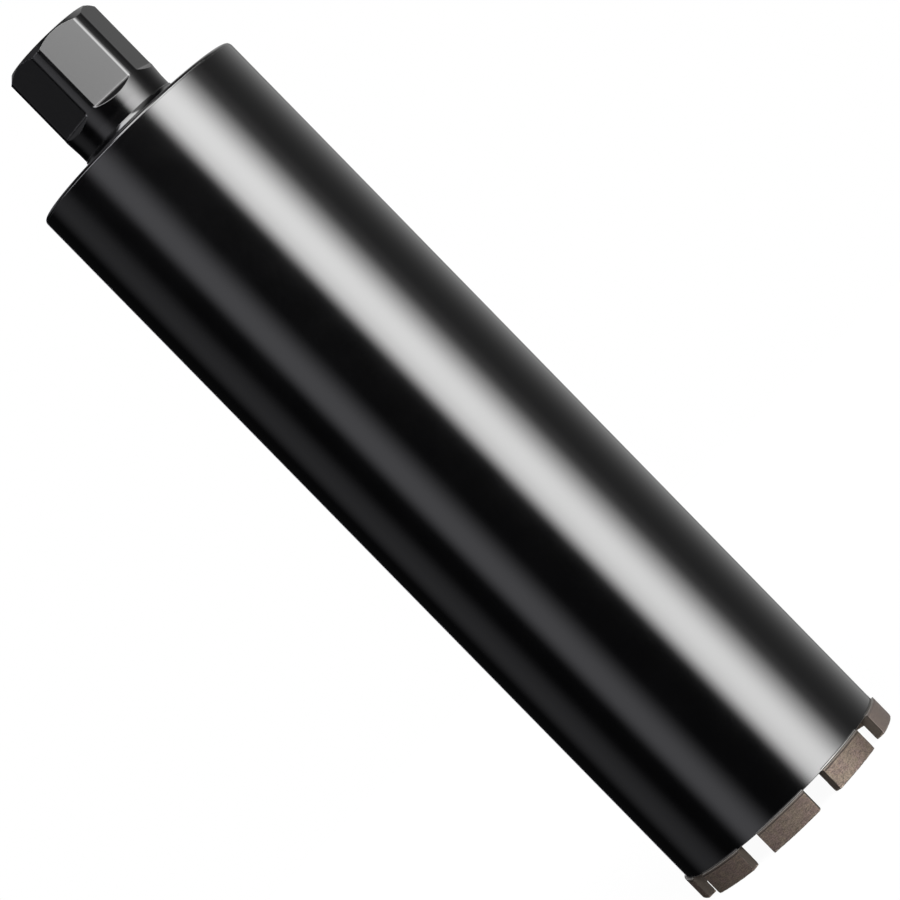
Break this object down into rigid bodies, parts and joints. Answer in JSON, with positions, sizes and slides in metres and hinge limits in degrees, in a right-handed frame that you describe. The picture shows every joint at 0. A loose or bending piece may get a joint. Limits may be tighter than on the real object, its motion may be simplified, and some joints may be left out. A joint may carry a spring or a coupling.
{
  "type": "core drill bit",
  "caption": "Wet core drill bit: a thin-walled black barrel with sintered cutting segments on its lower rim, closed by an end plate with a threaded hub and spanner flats.",
  "frame": {"origin": "on the drilling axis, in the plane of the segment tips, where the crown rests", "axes": "+Z along the drilling axis from the crown towards the hub; +X and +Y across the barrel, with the first segment centred 25 degrees from +X"},
  "size_m": [0.102, 0.102, 0.4162],
  "materials": {
    "black_enamel": "smooth semi-gloss black enamel on rolled steel",
    "black_enamel_hub": "semi-gloss black enamel on turned steel, with a bare machined ring at the mouth",
    "sintered_segment": "matt sintered bronze and steel matrix with abrasive grit, dressed by grinding",
    "bare_steel": "bare cut thread"
  },
  "bodies": {
    "root": {"tube": "black_enamel", "end_plate": "black_enamel", "hub": "black_enamel_hub", "segment_1": "sintered_segment", "segment_2": "sintered_segment", "segment_3": "sintered_segment", "segment_4": "sintered_segment", "segment_5": "sintered_segment", "segment_6": "sintered_segment", "segment_7": "sintered_segment", "segment_8": "sintered_segment", "segment_9": "sintered_segment"}
  },
  "joints": []
}
